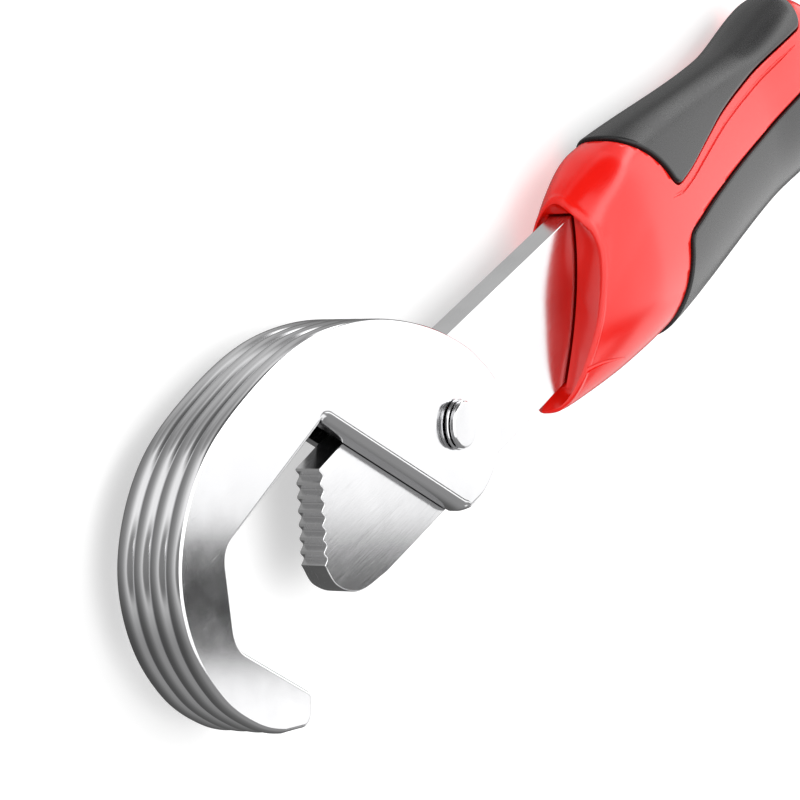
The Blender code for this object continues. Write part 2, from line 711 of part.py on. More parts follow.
def make_core(collection, cutters):
    core = make_core_body("handle_core", collection)
    angles = round_angles(48)
    for side, label in ((1, "upper"), (-1, "lower")):
        panel = plate(f"cut_{label}_panel", [grip_region(side, 0.0)], -OUTSIDE, OUTSIDE, cutters)
        under = add_object(f"leave_under_{label}", skin_rings(outer_rings(angles, 24, GRIP_DEPTH)), cutters)
        add_boolean(panel, under, "DIFFERENCE")
        add_boolean(core, panel, "DIFFERENCE")
    for k, centre in enumerate(tang_hole_centres()):
        plug = plate(f"join_tang_plug_{k}", [circle(centre, TANG_HOLE_RADIUS - GAP, 24)],
                     -SLOT_HALF - 1 * MM, SLOT_HALF + 1 * MM, cutters)
        add_boolean(core, plug, "UNION")
    hole_centre = Vector((HANDLE_END - HANGING_HOLE_INSET, -1.5 * MM))
    hole = [circle(hole_centre, HANGING_HOLE_RADIUS)]
    hanging = plate("cut_hanging_hole", hole, -OUTSIDE, OUTSIDE, cutters)
    add_boolean(core, hanging, "DIFFERENCE")
    return core


# ---------------------------------------------------------------- assembly

def world_box(objects):
    bpy.context.view_layer.update()
    graph = bpy.context.evaluated_depsgraph_get()
    corners = []
    for obj in objects:
        evaluated = obj.evaluated_get(graph)
        mesh = evaluated.to_mesh()
        corners += [evaluated.matrix_world @ vertex.co for vertex in mesh.vertices]
        evaluated.to_mesh_clear()
    low = Vector([min(corner[axis] for corner in corners) for axis in range(3)])
    high = Vector([max(corner[axis] for corner in corners) for axis in range(3)])
    return low, high


def main():
    clear_scene()
    wrench = make_collection("hook_jaw_wrench")
    cutters = make_collection("wrench_cutters")
    steel = make_material("polished_steel", (0.78, 0.78, 0.79), 0.18, 1.0)
    blade_steel = make_material("blade_steel", (0.72, 0.72, 0.73), 0.25, 1.0)
    pin_steel = make_material("pin_steel", (0.70, 0.70, 0.71), 0.22, 1.0)
    spring_steel = make_material("spring_steel", (0.30, 0.30, 0.32), 0.35, 1.0)
    red = make_material("red_plastic", (0.85, 0.03, 0.015), 0.25, 0.0)
    black = make_material("black_rubber", (0.045, 0.045, 0.048), 0.55, 0.0)

    hook_body = [make_hook(wrench, cutters), make_rivet(wrench), make_washer("rivet_washer_near", 1, wrench),
                 make_washer("rivet_washer_far", -1, wrench), make_spring(wrench)]
    lever_body = [make_blade(wrench), make_core(wrench, cutters),
                  make_grip("upper_grip", 1, wrench, cutters), make_grip("lower_grip", -1, wrench, cutters)]
    for obj, material in zip(hook_body + lever_body, (steel, pin_steel, pin_steel, pin_steel, spring_steel,
                                                      blade_steel, red, black, black)):
        obj.data.materials.append(material)

    low, high = world_box(hook_body + lever_body)
    root = bpy.data.objects.new("wrench_root", None)
    wrench.objects.link(root)
    pivot = bpy.data.objects.new("hook_pivot", None)
    wrench.objects.link(pivot)
    pivot.parent = root
    for obj in hook_body:
        obj.parent = pivot
    for obj in lever_body:
        obj.parent = root
    for cutter in cutters.objects:
        cutter.parent = root
    root.location = (-(low.x + high.x) / 2, -(low.y + high.y) / 2, -low.z)


main()
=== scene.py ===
"""Looks of the self-adjusting hook-jaw wrench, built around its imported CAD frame.

Shapes are written in design coordinates: the origin is the rivet's axis on the blade's mid-plane,
+X runs along the handle, +Y towards the hook's back and +Z along the rivet. Lengths are in metres.
"""
import json
import math

import bmesh
import bpy
from mathutils import Matrix, Vector


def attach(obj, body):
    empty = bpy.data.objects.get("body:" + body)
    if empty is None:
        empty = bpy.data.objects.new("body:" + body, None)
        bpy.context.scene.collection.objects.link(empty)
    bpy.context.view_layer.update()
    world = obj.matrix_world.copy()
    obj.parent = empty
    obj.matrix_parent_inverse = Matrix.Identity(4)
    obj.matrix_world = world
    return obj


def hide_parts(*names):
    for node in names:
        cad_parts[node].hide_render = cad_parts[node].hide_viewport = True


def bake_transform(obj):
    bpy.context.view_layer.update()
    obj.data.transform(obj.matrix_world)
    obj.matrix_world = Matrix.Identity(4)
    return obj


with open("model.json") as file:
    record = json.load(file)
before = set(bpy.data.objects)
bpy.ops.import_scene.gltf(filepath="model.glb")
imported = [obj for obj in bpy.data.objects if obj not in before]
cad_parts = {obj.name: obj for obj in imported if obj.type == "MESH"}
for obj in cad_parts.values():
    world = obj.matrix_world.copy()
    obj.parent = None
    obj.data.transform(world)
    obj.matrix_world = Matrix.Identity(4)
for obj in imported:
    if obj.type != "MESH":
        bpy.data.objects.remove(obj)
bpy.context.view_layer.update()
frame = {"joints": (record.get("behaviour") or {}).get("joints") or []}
PIVOT = Vector(frame["joints"][0]["pos_m"])

MM = 0.001
GAP = 0.3 * MM
OUTSIDE = 45.0 * MM

# Hook jaw
HOOK_THICKNESS = 12.5 * MM
HOOK_EDGE_ROUND = 0.7 * MM
LEG_EDGE_ROUND = 2.2 * MM
LEG_ROUND_REACH = 3.0 * MM
FORK_END = Vector((-3.3, -16.8)) * MM
APEX = Vector((-39.6, 20.9)) * MM
EYE_RADIUS = 16.1 * MM
EYE_CENTRE = Vector((1.2, -0.4)) * MM
RIB_COUNT = 4
RIB_DEPTH = 0.65 * MM
RIB_EDGE_ROUND = 0.3 * MM
RIB_FADE_START = -38.0 * MM
RIB_FADE_END = -14.0 * MM
OPEN_ANGLE = math.radians(25)
CLOSE_ANGLE = math.radians(20)
STOP_CLEARANCE = 0.4 * MM
FORK_FRONT = Vector((-47.7, 18.0)) * MM
FORK_FRONT_SLOPE = Vector((0.62, 0.7846))

# Blade
BLADE_THICKNESS = 5.0 * MM
BLADE_TOP = 13.4 * MM
BLADE_BOTTOM = -15.3 * MM
NOSE_TOP = Vector((-39.7, 11.6)) * MM
NOSE_HEEL = Vector((-45.6, -4.2)) * MM
TOOTH_PITCH = 2.45 * MM
TOOTH_DEPTH = 0.95 * MM
TANG_WIDTH = 18.0 * MM
TANG_LENGTH = 82.0 * MM
SHOULDER_DEPTH = 36.0 * MM
TANG_HOLE_RADIUS = 3.6 * MM
TANG_HOLE_STEP = 32.0 * MM
BLADE_EDGE = 0.22 * MM

# Rivet, washers and spring
RIVET_RADIUS = 3.3 * MM
RIVET_HEAD_RADIUS = 4.4 * MM
RIVET_HEAD_HEIGHT = 0.9 * MM
RIVET_HEAD_CHAMFER = 0.35 * MM
WASHER_RADIUS = 4.7 * MM
WASHER_THICKNESS = 0.6 * MM
SPRING_WIRE = 0.9 * MM
SPRING_INNER = 5.3 * MM
SPRING_PITCH = 1.4 * MM
SPRING_TURNS = 3
SPRING_POCKET_WALL = 0.35 * MM
SPRING_LEG_REACH = 1.6 * MM
SPRING_END_REACH = 2.2 * MM

# Handle
HANDLE_FRONT = 41.0 * MM
HANDLE_LENGTH = 155.0 * MM
HANDLE_END = HANDLE_FRONT + HANDLE_LENGTH
HANDLE_ROUNDNESS = 2.45
FRONT_NARROWING = 0.9
NARROWING_REACH = 48.0 * MM
TAIL_ROUND = 21.0 * MM
MOUTH_DEPTH = 24.5 * MM
MOUTH_SWEEP = 17.5 * MM
BOLSTER_RADIUS = 29.5 * MM
BOLSTER_CENTRE = Vector((HANDLE_FRONT + 27.5 * MM, -2.0 * MM))
GRIP_DEPTH = 3.4 * MM
GRIP_PROUD = 0.7 * MM
GRIP_CORNER = 2.6 * MM
GRIP_RIM = 0.55 * MM
SEAT_RIM = 0.35 * MM
TAIL_RADIUS = 26.0 * MM
TAIL_CENTRE = Vector((HANDLE_END + 3 * MM, -2.0 * MM))
LIP_REACH = [(-90, 0), (-66, 3.2), (-44, 6.1), (-27, 9), (-14, 12.2), (-2, 15.8), (5, 18.2), (15, 21),
             (25, 23), (36, 23.8), (48, 23.4), (65, 23), (90, 23.4)]
STRIPE_TOP = [(0, 5.4), (0.2, 6.1), (0.36, 8.3), (0.49, 9.9), (0.69, 10.9), (1, 11.9)]
STRIPE_BOTTOM = [(0, -5.2), (0.16, -4.9), (0.3, -3.4), (0.48, -2.2), (0.7, -1.4), (1, 0)]
HANGING_HOLE_RADIUS = 4.0 * MM
HANGING_HOLE_INSET = 13.0 * MM

SHOULDER_X = HANDLE_FRONT + SHOULDER_DEPTH
SLOT_HALF = BLADE_THICKNESS / 2 + GAP
SPRING_OUTER = SPRING_INNER + SPRING_TURNS * SPRING_PITCH
SPRING_Z = -(SLOT_HALF + SPRING_POCKET_WALL + SPRING_WIRE / 2)
POCKET_RADIUS = SPRING_OUTER + SPRING_WIRE / 2 + SPRING_POCKET_WALL
POCKET_FLOOR = SPRING_Z - SPRING_WIRE / 2 - SPRING_POCKET_WALL


# ---------------------------------------------------------------- mesh helpers

def smooth_step(value):
    t = min(1.0, max(0.0, value))
    return t * t * (3.0 - 2.0 * t)


def curve_through(points, x):
    """Height at x of a smooth curve through (x, height) points, by cubic Hermite spans."""
    if x <= points[0][0]:
        return points[0][1]
    if x >= points[-1][0]:
        return points[-1][1]
    slopes = []
    for i in range(len(points)):
        before = points[max(i - 1, 0)]
        after = points[min(i + 1, len(points) - 1)]
        slopes.append((after[1] - before[1]) / (after[0] - before[0]))
    i = max(k for k in range(len(points) - 1) if points[k][0] <= x)
    span = points[i + 1][0] - points[i][0]
    t = (x - points[i][0]) / span
    return ((2 * t**3 - 3 * t**2 + 1) * points[i][1] + (t**3 - 2 * t**2 + t) * span * slopes[i]
            + (3 * t**2 - 2 * t**3) * points[i + 1][1] + (t**3 - t**2) * span * slopes[i + 1])


def path_through(points, steps, lead=None):
    """Points along a smooth open path through the given ones, ends included."""
    result = []
    for i in range(len(points) - 1):
        before = points[i - 1] if i > 0 else lead or points[0]
        start, end = points[i], points[i + 1]
        after = points[min(i + 2, len(points) - 1)]
        span = (end - start).length
        leave = (end - before).normalized() * span
        arrive = (after - start).normalized() * span
        for k in range(steps):
            t = k / steps
            result.append(start * (2 * t**3 - 3 * t**2 + 1) + leave * (t**3 - 2 * t**2 + t)
                          + end * (3 * t**2 - 2 * t**3) + arrive * (t**3 - t**2))
    return result + [points[-1].copy()]


def rounded_corners(corners, steps=12):
    """Outline from (point, radius) corners: straight sides joined by arcs."""
    result = []
    count = len(corners)
    for i, (corner, radius) in enumerate(corners):
        back = (corners[i - 1][0] - corner).normalized()
        ahead = (corners[(i + 1) % count][0] - corner).normalized()
        if radius <= 0:
            result.append(corner.copy())
            continue
        half = back.angle(ahead) / 2
        reach = radius / math.tan(half)
        centre = corner + (back + ahead).normalized() * (radius / math.sin(half))
        first = corner + back * reach - centre
        turn = first.angle_signed(corner + ahead * reach - centre)
        for k in range(steps + 1):
            angle = -turn * k / steps
            spin = Vector((first.x * math.cos(angle) - first.y * math.sin(angle),
                           first.x * math.sin(angle) + first.y * math.cos(angle)))
            result.append(centre + spin)
    return result


def arc(centre, radius, start, end, steps):
    """Points of an arc from angle start to angle end, in degrees, ends included."""
    points = []
    for k in range(steps + 1):
        angle = math.radians(start + (end - start) * k / steps)
        points.append(centre + Vector((math.cos(angle), math.sin(angle))) * radius)
    return points


def circle(centre, radius, steps=48):
    return arc(centre, radius, 0, 360, steps)[:-1]


def inward_normals(points):
    normals = []
    count = len(points)
    for i in range(count):
        along = (points[(i + 1) % count] - points[i - 1]).normalized()
        normals.append(Vector((along.y, -along.x)))
    return normals


def new_object(name, bm):
    """Object of a bmesh in design coordinates, moved to its place in the row frame."""
    bmesh.ops.translate(bm, verts=bm.verts, vec=PIVOT)
    mesh = bpy.data.meshes.new(name)
    bm.to_mesh(mesh)
    bm.free()
    mesh.shade_smooth()
    obj = bpy.data.objects.new(name, mesh)
    bpy.context.scene.collection.objects.link(obj)
    return obj


def skin_rings(rings):
    """Closed mesh through rings of equally many points, with flat ends."""
    bm = bmesh.new()
    rows = [[bm.verts.new(point) for point in ring] for ring in rings]
    count = len(rows[0])
    for lower, upper in zip(rows, rows[1:]):
        for k in range(count):
            bm.faces.new((lower[k], lower[(k + 1) % count], upper[(k + 1) % count], upper[k]))
    bm.faces.new(list(reversed(rows[0])))
    bm.faces.new(rows[-1])
    bmesh.ops.recalc_face_normals(bm, faces=bm.faces)
    return bm


def prism(outline, low, high):
    """Straight solid over a closed outline."""
    return skin_rings([[(p.x, p.y, z) for p in outline] for z in (low, high)])


def turned(profile, steps=96):
    """Solid of revolution about the rivet's axis from a closed or axis-to-axis (radius, z) profile."""
    bm = bmesh.new()
    is_ring = profile[0] == profile[-1]
    points = profile[:-1] if is_ring else profile
    columns = []
    for k in range(steps):
        angle = 2 * math.pi * k / steps
        columns.append([bm.verts.new((radius * math.cos(angle), radius * math.sin(angle), z))
                        for radius, z in points if radius > 0])
    ends = [bm.verts.new((0, 0, z)) for radius, z in points if radius <= 0]
    rows = len(columns[0])
    for k in range(steps):
        here, there = columns[k], columns[(k + 1) % steps]
        for i in range(rows if is_ring else rows - 1):
            j = (i + 1) % rows
            bm.faces.new((here[i], there[i], there[j], here[j]))
        if ends:
            bm.faces.new((ends[0], there[0], here[0]))
            bm.faces.new((ends[1], here[-1], there[-1]))
    bmesh.ops.recalc_face_normals(bm, faces=bm.faces)
    return bm


def tube(path, radii, sides=10):
    """Round closed solid along a path of points, with a radius for each."""
    rings = []
    for i, point in enumerate(path):
        along = (path[min(i + 1, len(path) - 1)] - path[max(i - 1, 0)]).normalized()
        side = along.cross(Vector((0, 1, 0))).normalized()
        up = side.cross(along)
        rings.append([point + (side * math.cos(a) + up * math.sin(a)) * radii[i]
                      for a in (2 * math.pi * k / sides for k in range(sides))])
    return skin_rings(rings)


def cut(obj, cutter, operation="DIFFERENCE"):
    """Applies a boolean with a cutter bmesh, then removes the cutter."""
    other = new_object("cutter", cutter)
    modifier = obj.modifiers.new("cut", "BOOLEAN")
    modifier.operation = operation
    modifier.object = other
    modifier.solver = "EXACT"
    bpy.context.view_layer.update()
    graph = bpy.context.evaluated_depsgraph_get()
    mesh = bpy.data.meshes.new_from_object(obj.evaluated_get(graph))
    obj.modifiers.remove(modifier)
    old = obj.data
    obj.data = mesh
    bpy.data.meshes.remove(old)
    bpy.data.objects.remove(other, do_unlink=True)


def finish_shading(obj, angle=38, weighted=True):
    """Sharp creases above an angle, and normals that follow the large faces."""
    obj.data.shade_smooth()
    obj.data.set_sharp_from_angle(angle=math.radians(angle))
    if weighted:
        modifier = obj.modifiers.new("normals", "WEIGHTED_NORMAL")
        modifier.keep_sharp = True
        modifier.weight = 80


# ---------------------------------------------------------------- material helpers

def make_material(name):
    material = bpy.data.materials.new(name)
    material.use_nodes = True
    return material, material.node_tree.nodes, material.node_tree.links


def object_coordinates(nodes, links, scale, turn=(0, 0, 0)):
    """Coordinates fixed to the piece, stretched by a scale for each axis."""
    source = nodes.new("ShaderNodeTexCoord")
    mapping = nodes.new("ShaderNodeMapping")
    mapping.inputs["Scale"].default_value = scale
    mapping.inputs["Rotation"].default_value = turn
    links.new(source.outputs["Object"], mapping.inputs["Vector"])
    return mapping.outputs["Vector"]


def noise(nodes, links, vector, scale, detail=3.0, roughness=0.5):
    node = nodes.new("ShaderNodeTexNoise")
    node.inputs["Scale"].default_value = scale
    node.inputs["Detail"].default_value = detail
    node.inputs["Roughness"].default_value = roughness
    links.new(vector, node.inputs["Vector"])
    return node.outputs["Fac"]


def ramp(nodes, links, value, low, high, from_low=0.3, from_high=0.7):
    """Value remapped to low..high between two noise levels."""
    node = nodes.new("ShaderNodeMapRange")
    node.inputs["From Min"].default_value = from_low
    node.inputs["From Max"].default_value = from_high
    node.inputs["To Min"].default_value = low
    node.inputs["To Max"].default_value = high
    links.new(value, node.inputs["Value"])
    return node.outputs["Result"]


def colour_mix(nodes, links, factor, first, second):
    node = nodes.new("ShaderNodeMix")
    node.data_type = "RGBA"
    node.inputs["A"].default_value = (*first, 1.0)
    node.inputs["B"].default_value = (*second, 1.0)
    links.new(factor, node.inputs["Factor"])
    return node.outputs["Result"]


def add(nodes, links, first, second, weight=1.0):
    node = nodes.new("ShaderNodeMath")
    node.operation = "MULTIPLY_ADD"
    links.new(second, node.inputs[0])
    node.inputs[1].default_value = weight
    links.new(first, node.inputs[2])
    return node.outputs["Value"]


def bump(nodes, links, height, strength, distance):
    node = nodes.new("ShaderNodeBump")
    node.inputs["Strength"].default_value = strength
    node.inputs["Distance"].default_value = distance
    links.new(height, node.inputs["Height"])
    return node.outputs["Normal"]


def steel_material(name, light, dark, rough_low, rough_high, grain, turn=(0, 0, 0), depth=0.02 * MM):
    """Metal with fine grinding lines along the grain, faint clouding, and sparse scratches."""
    material, nodes, links = make_material(name)
    shader = nodes["Principled BSDF"]
    shader.inputs["Metallic"].default_value = 1.0
    lines = noise(nodes, links, object_coordinates(nodes, links, grain, turn), 60.0, 4.0, 0.6)
    cloud = noise(nodes, links, object_coordinates(nodes, links, (1, 1, 1)), 90.0, 3.0)
    scratches = object_coordinates(nodes, links, (30, 260, 90), (0.3, 0.2, 0.7))
    marks = noise(nodes, links, scratches, 9.0, 2.0)
    colour = colour_mix(nodes, links, ramp(nodes, links, cloud, 0.0, 1.0), dark, light)
    links.new(colour, shader.inputs["Base Color"])
    surface = add(nodes, links, ramp(nodes, links, lines, rough_low, rough_high),
                  ramp(nodes, links, marks, 0.0, 0.02, 0.66, 0.74))
    links.new(surface, shader.inputs["Roughness"])
    height = add(nodes, links, lines, ramp(nodes, links, marks, 0.0, 1.0, 0.68, 0.76), 0.25)
    links.new(bump(nodes, links, height, 0.12, depth), shader.inputs["Normal"])
    return material


def make_materials():
    steel = steel_material("polished_steel", (0.81, 0.81, 0.82), (0.785, 0.785, 0.795),
                           0.10, 0.13, (3, 3, 60))
    blade = steel_material("blade_steel", (0.82, 0.82, 0.83), (0.76, 0.76, 0.77),
                           0.12, 0.17, (2, 70, 70))
    edge = steel_material("ground_edge", (0.84, 0.84, 0.845), (0.76, 0.76, 0.765),
                          0.20, 0.28, (6, 6, 120))
    pin = steel_material("pin_steel", (0.80, 0.80, 0.81), (0.70, 0.70, 0.71),
                         0.12, 0.20, (14, 14, 14))
    wire = steel_material("spring_steel", (0.32, 0.32, 0.34), (0.20, 0.20, 0.215),
                          0.28, 0.42, (20, 20, 20))

    red, nodes, links = make_material("red_plastic")
    shader = nodes["Principled BSDF"]
    fine = noise(nodes, links, object_coordinates(nodes, links, (1, 1, 1)), 1400.0, 2.0)
    broad = noise(nodes, links, object_coordinates(nodes, links, (1, 1, 1)), 45.0, 2.0)
    links.new(colour_mix(nodes, links, ramp(nodes, links, broad, 0.0, 1.0),
                         (0.78, 0.0055, 0.0018), (0.84, 0.0085, 0.0030)), shader.inputs["Base Color"])
    links.new(add(nodes, links, ramp(nodes, links, broad, 0.15, 0.19), ramp(nodes, links, fine, 0.0, 0.03)),
              shader.inputs["Roughness"])
    shader.inputs["IOR"].default_value = 1.48
    links.new(bump(nodes, links, add(nodes, links, fine, broad, 0.5), 0.03, 0.03 * MM),
              shader.inputs["Normal"])

    black, nodes, links = make_material("black_rubber")
    shader = nodes["Principled BSDF"]
    grain = noise(nodes, links, object_coordinates(nodes, links, (1, 1, 1)), 2600.0, 2.0, 0.6)
    broad = noise(nodes, links, object_coordinates(nodes, links, (1, 1, 1)), 70.0, 3.0)
    links.new(colour_mix(nodes, links, ramp(nodes, links, broad, 0.0, 1.0),
                         (0.010, 0.010, 0.0105), (0.015, 0.015, 0.0155)), shader.inputs["Base Color"])
    links.new(add(nodes, links, ramp(nodes, links, broad, 0.24, 0.27), ramp(nodes, links, grain, 0.0, 0.04)),
              shader.inputs["Roughness"])
    shader.inputs["IOR"].default_value = 1.42
    links.new(bump(nodes, links, grain, 0.12, 0.04 * MM), shader.inputs["Normal"])
    return {"steel": steel, "blade": blade, "edge": edge, "pin": pin, "wire": wire, "red": red,
            "black": black}


def place(piece, body, node, slot, *materials):
    for material in materials:
        piece.data.materials.append(material)
    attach(piece, body)
    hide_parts(node)


# ---------------------------------------------------------------- hook jaw

def leg_distance(point):
    """Distance from the straight leg between the fork's end and the apex."""
    along = APEX - FORK_END
    t = min(1.0, max(0.0, (point - FORK_END).dot(along) / along.length_squared))
    return (point - FORK_END - along * t).length


def hook_outline():
    """Outline as (point, how much of the rib profile its rim carries, radius at the faces)."""
    inner_corners = [(FORK_END, 4.5 * MM), (APEX, 3.4 * MM)] + [
        (Vector((x, y)) * MM, radius * MM) for x, y, radius in [
            (-75.8, 15.8, 4.0), (-79.9, 0.1, 6.0), (-63.6, -18.4, 1.6), (-66.0, -23.4, 2.6),
            (-73.6, -20.4, 0.0)]]
    back = path_through([Vector(place) * MM for place in [
        (-73.6, -20.4), (-80.6, -14.9), (-87.2, -6.0), (-90.8, 5.8), (-89.3, 17.4), (-82.7, 26.6),
        (-72.7, 32.8), (-57.9, 35.9), (-42.0, 36.4), (-28.0, 33.6), (-14.0, 28.0), (0.0, 19.7),
        (10.4, 10.9), (15.6, 4.2)]], 14, Vector((-66.0, -23.4)) * MM)
    eye = arc(EYE_CENTRE, EYE_RADIUS, 6, -84, 40)
    inner = rounded_corners([(eye[-1], 0.0)] + inner_corners)[1:-1]
    outline = []
    for point in eye + inner:
        off_leg = smooth_step(leg_distance(point) / LEG_ROUND_REACH)
        outline.append((point, 0.0, LEG_EDGE_ROUND + (HOOK_EDGE_ROUND - LEG_EDGE_ROUND) * off_leg))
    for point in back:
        fade = smooth_step((point.x - RIB_FADE_START) / (RIB_FADE_END - RIB_FADE_START))
        outline.append((point, 1.0 - fade, RIB_EDGE_ROUND + (HOOK_EDGE_ROUND - RIB_EDGE_ROUND) * fade))
    return outline


def rim_inset(z, rib_share, edge_round):
    """How far the rim lies inside the outline at height z."""
    over = abs(z) - (HOOK_THICKNESS / 2 - edge_round)
    rounding = 0.0
    if over > 0:
        rounding = edge_round - math.sqrt(max(0.0, edge_round**2 - over**2))
    width = HOOK_THICKNESS / RIB_COUNT
    across = (z + HOOK_THICKNESS / 2) % width - width / 2
    if abs(z) > HOOK_THICKNESS / 2 - 1e-9:
        across = width / 2
    radius = (width**2 / 4 + RIB_DEPTH**2) / (2 * RIB_DEPTH)
    return rounding + (radius - math.sqrt(radius**2 - across**2)) * rib_share


def rim_heights():
    """Heights of the hook's rings: even along the ribs, and closer near each face."""
    steps = RIB_COUNT * 8
    half = HOOK_THICKNESS / 2
    even = [HOOK_THICKNESS * k / steps - half for k in range(steps + 1)]
    shares = (0.02, 0.06, 0.12, 0.2, 0.3, 0.42, 0.75)
    close = [side * (half - share * HOOK_EDGE_ROUND) for side in (-1, 1) for share in shares]
    return sorted(even + close)


def stop_line(angle):
    """Point and direction of the blade's top edge, with clearance, when turned by angle."""
    reach = BLADE_TOP + STOP_CLEARANCE
    normal = Vector((-math.sin(angle), math.cos(angle)))
    return normal * reach, Vector((math.cos(angle), math.sin(angle)))


def meet(line_a, line_b):
    (point, along), (other, across) = line_a, line_b
    turn = along.x * across.y - along.y * across.x
    apart = other - point
    return point + along * ((apart.x * across.y - apart.y * across.x) / turn)


def fork_outline():
    """Side view of the space between the cheeks: the blade's sweep, with a web above it."""
    opened = stop_line(-OPEN_ANGLE)
    closed = stop_line(CLOSE_ANGLE)
    inner_corner = meet(opened, closed)
    front_top = meet(opened, (FORK_FRONT, FORK_FRONT_SLOPE))
    over_back = inner_corner + closed[1] * OUTSIDE
    return rounded_corners([
        (Vector((FORK_FRONT.x, -OUTSIDE)), 0.0), (Vector((OUTSIDE, -OUTSIDE)), 0.0),
        (Vector((OUTSIDE, over_back.y)), 0.0), (over_back, 0.0), (inner_corner, 0.0),
        (front_top, 4 * MM), (FORK_FRONT, 0.0)])


def spring_pocket_outline():
    """Round pocket with a straight notch at its top for the spring's outer end."""
    half = SPRING_WIRE / 2 + SPRING_POCKET_WALL
    notch_end = -POCKET_RADIUS - 3 * MM
    start = math.degrees(math.asin((SPRING_OUTER - half) / POCKET_RADIUS))
    round_part = arc(Vector((0, 0)), POCKET_RADIUS, 180 - start, 450, 60)
    return round_part + [Vector((-0.5 * MM, SPRING_OUTER + half)), Vector((notch_end, SPRING_OUTER + half)),
                         Vector((notch_end, SPRING_OUTER - half))]


def make_hook(materials):
    outline = hook_outline()
    normals = inward_normals([point for point, _, _ in outline])
    rings = []
    for z in rim_heights():
        ring = []
        for (point, rib_share, edge_round), normal in zip(outline, normals):
            spot = point + normal * rim_inset(z, rib_share, edge_round)
            ring.append((spot.x, spot.y, z))
        rings.append(ring)
    hook = new_object("hook_jaw_forging", skin_rings(rings))
    bore = RIVET_RADIUS + GAP
    cut(hook, prism(fork_outline(), -SLOT_HALF, SLOT_HALF))
    cut(hook, turned([(0, OUTSIDE), (bore, OUTSIDE), (bore, -OUTSIDE), (0, -OUTSIDE)]))
    cut(hook, prism(spring_pocket_outline(), POCKET_FLOOR, 0))
    finish_shading(hook, 30)
    place(hook, "hook", "hook_jaw", "polished_steel", materials["steel"])


# ---------------------------------------------------------------- blade, rivet and washers

def blade_outline():
    """Toothed nose, parallel shank, shoulder and tang, from the nose's top."""
    down = NOSE_HEEL - NOSE_TOP
    count = round(down.length / TOOTH_PITCH)
    step = down / count
    forward = Vector((step.y, -step.x)).normalized()
    teeth = []
    for k in range(count):
        crest = NOSE_TOP + step * k
        teeth.append(crest)
        teeth.append(crest + step * 0.2)
        teeth.append(crest + step * 0.52 - forward * TOOTH_DEPTH)
        teeth.append(crest + step * 0.62 - forward * TOOTH_DEPTH)
    heel = path_through([NOSE_HEEL, Vector((-43.6, -9.3)) * MM, Vector((-37.5, -13.8)) * MM,
                         Vector((-28.0 * MM, BLADE_BOTTOM))], 10)
    middle = (BLADE_TOP + BLADE_BOTTOM) / 2
    tang_end = SHOULDER_X + TANG_LENGTH
    rear = rounded_corners([
        (Vector((SHOULDER_X, BLADE_BOTTOM)), 2 * MM),
        (Vector((SHOULDER_X, middle - TANG_WIDTH / 2)), 1.5 * MM),
        (Vector((tang_end, middle - TANG_WIDTH / 2)), 5 * MM),
        (Vector((tang_end, middle + TANG_WIDTH / 2)), 5 * MM),
        (Vector((SHOULDER_X, middle + TANG_WIDTH / 2)), 1.5 * MM),
        (Vector((SHOULDER_X, BLADE_TOP)), 2 * MM),
        (Vector((-8 * MM, BLADE_TOP)), 0.0), (Vector((-28 * MM, BLADE_BOTTOM)), 0.0)], 6)[:-1]
    return teeth + heel + rear


def make_blade(materials):
    outline = blade_outline()
    normals = inward_normals(outline)
    half = BLADE_THICKNESS / 2
    rings = []
    bevel = [(-half, BLADE_EDGE), (-half + 0.3 * BLADE_EDGE, 0.3 * BLADE_EDGE), (-half + BLADE_EDGE, 0),
             (half - BLADE_EDGE, 0), (half - 0.3 * BLADE_EDGE, 0.3 * BLADE_EDGE), (half, BLADE_EDGE)]
    for z, inset in bevel:
        rings.append([(p.x - n.x * inset, p.y - n.y * inset, z) for p, n in zip(outline, normals)])
    blade = new_object("toothed_blade", skin_rings(rings))
    middle = (BLADE_TOP + BLADE_BOTTOM) / 2
    holes = [(Vector((0, 0)), RIVET_RADIUS + GAP), (Vector((SPRING_INNER, 0)), SPRING_WIRE / 2 + GAP)]
    holes += [(Vector((SHOULDER_X + TANG_HOLE_STEP * k, middle)), TANG_HOLE_RADIUS) for k in (1, 2)]
    for centre, radius in holes:
        cut(blade, prism(circle(centre, radius), -OUTSIDE, OUTSIDE))
    finish_shading(blade, 30)
    place(blade, "lever", "lever_blade", "blade_steel", materials["blade"], materials["edge"])
    for face in blade.data.polygons:
        if abs(face.normal.z) < 0.6:
            face.material_index = 1


def rounded_profile(corners, radius, steps=5):
    """(radius, z) profile with small fillets at its inner corners, end points kept."""
    result = [corners[0]]
    for i in range(1, len(corners) - 1):
        corner = Vector(corners[i])
        back = (Vector(corners[i - 1]) - corner).normalized()
        ahead = (Vector(corners[i + 1]) - corner).normalized()
        for k in range(steps + 1):
            t = k / steps
            spot = corner + back * radius * (1 - t) ** 2 + ahead * radius * t**2
            result.append((spot.x, spot.y))
    return result + [corners[-1]]


